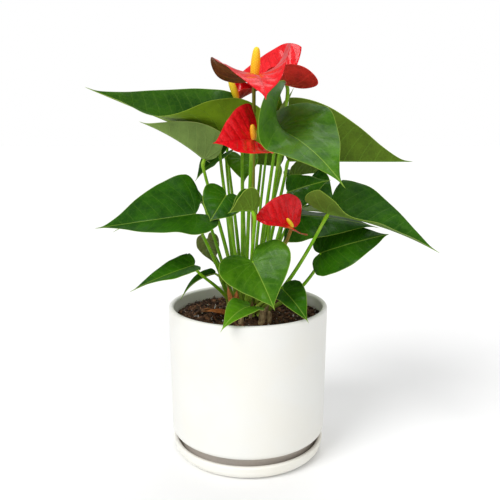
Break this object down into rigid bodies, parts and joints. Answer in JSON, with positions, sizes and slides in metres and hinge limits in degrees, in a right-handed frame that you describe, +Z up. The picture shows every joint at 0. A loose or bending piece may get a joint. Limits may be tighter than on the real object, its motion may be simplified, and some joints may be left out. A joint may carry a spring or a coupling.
{
  "type": "potted anthurium",
  "caption": "Living anthurium with heart-shaped leaves and red spathes on yellow spadices, in a round white pot on its saucer.",
  "frame": {"origin": "middle of the saucer's flat underside, on the pot's axis", "axes": "+Z up along the pot's axis, -Y towards the plant's front, +X to its right"},
  "size_m": [0.3333, 0.2544, 0.4213],
  "materials": {
    "pot_ceramic": "matt white glaze",
    "saucer_ceramic": "matt white glaze, slightly creamier",
    "bark_soil": "rough bark and peat with a few white grains",
    "crown": "fibrous, cream and brown",
    "dry_sheath": "dry, papery, orange-brown",
    "leaf": "waxy gloss, pale veins and margin, matt olive underside",
    "spathe": "high waxy gloss, netted veins",
    "spadix": "satin, beaded",
    "flower_stalk": "satin, green to brown"
  },
  "bodies": {
    "root": {"crown": "crown", "dry_sheath_left": "dry_sheath", "dry_sheath_right": "dry_sheath", "dry_sheath_upright": "dry_sheath", "flower_back_spadix": "spadix", "flower_back_spathe": "spathe", "flower_back_stalk": "flower_stalk", "flower_front_spadix": "spadix", "flower_front_spathe": "spathe", "flower_front_stalk": "flower_stalk", "flower_left_spadix": "spadix", "flower_left_spathe": "spathe", "flower_left_stalk": "flower_stalk", "flower_middle_spadix": "spadix", "flower_middle_spathe": "spathe", "flower_middle_stalk": "flower_stalk", "flower_young_spadix": "spadix", "flower_young_spathe": "spathe", "flower_young_stalk": "flower_stalk", "leaf_back_centre": "leaf", "leaf_back_high": "leaf", "leaf_back_left": "leaf", "leaf_back_low": "leaf", "leaf_back_middle": "leaf", "leaf_drooping_left": "leaf", "leaf_far_right": "leaf", "leaf_heart_front": "leaf", "leaf_left": "leaf", "leaf_left_behind": "leaf", "leaf_low_right": "leaf", "leaf_lower_left": "leaf", "leaf_olive_front": "leaf", "leaf_over_rim": "leaf", "leaf_pale_left": "leaf", "leaf_right": "leaf", "leaf_right_back": "leaf", "leaf_right_inner": "leaf", "leaf_right_low": "leaf", "leaf_right_lower": "leaf", "leaf_right_shaded": "leaf", "leaf_round_front": "leaf", "leaf_small_middle": "leaf", "leaf_top_front": "leaf", "leaf_top_left": "leaf", "leaf_upper_left": "leaf", "leaf_young_narrow": "leaf", "leaf_young_upright": "leaf", "pot": "pot_ceramic", "saucer": "saucer_ceramic", "soil": "bark_soil"}
  },
  "joints": []
}
